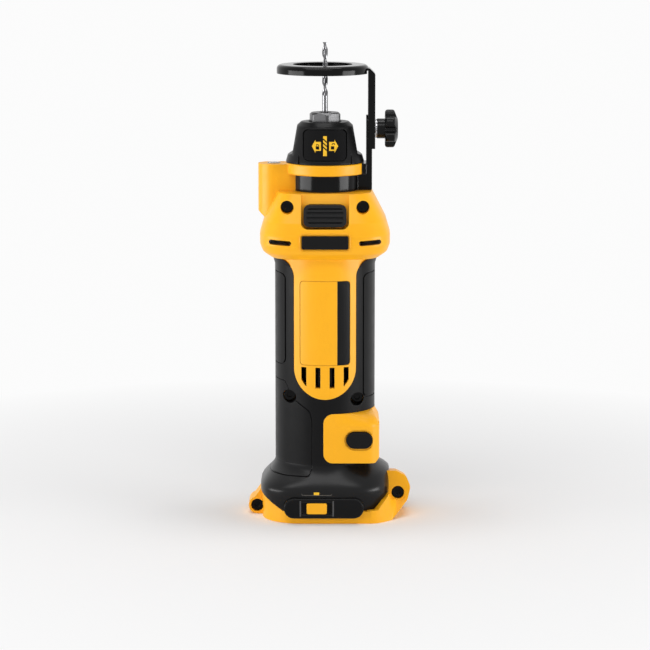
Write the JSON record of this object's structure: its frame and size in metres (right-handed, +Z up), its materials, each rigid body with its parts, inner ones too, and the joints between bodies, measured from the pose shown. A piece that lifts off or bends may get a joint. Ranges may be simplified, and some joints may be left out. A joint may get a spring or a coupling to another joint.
{
  "type": "drywall cut-out tool",
  "caption": "Cordless drywall cut-out tool: spiral bit in a collet with a turning lock sleeve, sliding depth guide, work light, thumb switch, rubber grip and a battery foot.",
  "frame": {"origin": "on the spindle axis, level with the underside of the battery foot", "axes": "+Z up along the spindle to the bit's tip, -Y to the front with the switch, +X to the side with the depth guide's strap and knob"},
  "size_m": [0.0934, 0.0717, 0.272],
  "materials": {
    "yellow_plastic": "moulded, fine sparked texture",
    "black_rubber": "soft overmould, satin",
    "black_plastic": "moulded, satin",
    "black_steel": "gloss black coating on steel",
    "bright_steel": "turned or ground steel",
    "copper_alloy": "bare copper alloy",
    "dark_core": "ferrite, carbon and stacked sheet",
    "clear_lens": "clear lens over the light source",
    "circuit_board": "printed board"
  },
  "bodies": {
    "housing": {"front_shell": "yellow_plastic", "rear_shell": "yellow_plastic", "front_grip": "black_rubber", "rear_grip": "black_rubber", "side_pod": "yellow_plastic", "head_badge": "black_plastic", "panel_plate": "yellow_plastic", "panel_strip": "black_plastic", "foot_bezel": "black_plastic", "housing_screws": "black_steel", "lamp_lens": "clear_lens", "lamp_board": "circuit_board", "guide_bracket": "black_steel", "switch_seal": "black_rubber", "switch_module": "black_plastic", "terminal_block": "black_plastic", "terminal_blades": "copper_alloy", "motor_can": "bright_steel", "motor_magnets": "dark_core", "brush_cap": "black_plastic", "brush_holders": "copper_alloy", "carbon_brushes": "dark_core", "front_bearing_race": "bright_steel", "rear_bearing_race": "bright_steel", "bearing_balls": "bright_steel"},
    "spindle": {"inner_races": "bright_steel", "spindle": "bright_steel", "armature_stack": "dark_core", "armature_winding": "copper_alloy", "commutator": "copper_alloy", "cooling_fan": "black_plastic", "collet": "bright_steel", "collet_nut": "bright_steel", "cutting_bit": "bright_steel"},
    "lock_sleeve": {"nose_sleeve": "black_plastic", "sleeve_mark": "black_plastic"},
    "depth_guide": {"guide_ring": "black_steel", "guide_post": "black_steel"},
    "clamp_knob": {"clamp_knob": "black_plastic", "knob_washer": "bright_steel", "clamp_stud": "bright_steel"},
    "switch": {"switch_slider": "black_plastic", "switch_rod": "black_plastic"},
    "side_button": {"side_button": "black_plastic"},
    "foot_slide": {"foot_slider": "yellow_plastic"}
  },
  "joints": [
    {"name": "spindle_spin", "type": "hinge", "parent": "housing", "child": "spindle", "pos_m": [0, 0, 0.2], "axis": [0, 0, 1], "continuous": true},
    {"name": "sleeve_turn", "type": "hinge", "parent": "housing", "child": "lock_sleeve", "pos_m": [0, 0, 0.204], "axis": [0, 0, 1], "range_deg": [-25, 25]},
    {"name": "guide_slide", "type": "slide", "parent": "housing", "child": "depth_guide", "axis": [0, 0, 1], "range_m": [-0.018, 0.005]},
    {"name": "knob_turn", "type": "hinge", "parent": "housing", "child": "clamp_knob", "pos_m": [0.03, 0, 0.2231], "axis": [1, 0, 0], "range_deg": [0, 540]},
    {"name": "switch_slide", "type": "slide", "parent": "housing", "child": "switch", "axis": [0, 0, 1], "range_m": [0, 0.006]},
    {"name": "button_push", "type": "slide", "parent": "housing", "child": "side_button", "axis": [0, 1, 0], "range_m": [0, 0.0012], "stiffness_N_per_m": 800, "springref_m": -0.0004},
    {"name": "foot_slide_shift", "type": "slide", "parent": "housing", "child": "foot_slide", "axis": [1, 0, 0], "range_m": [-0.0028, 0.0028]}
  ]
}
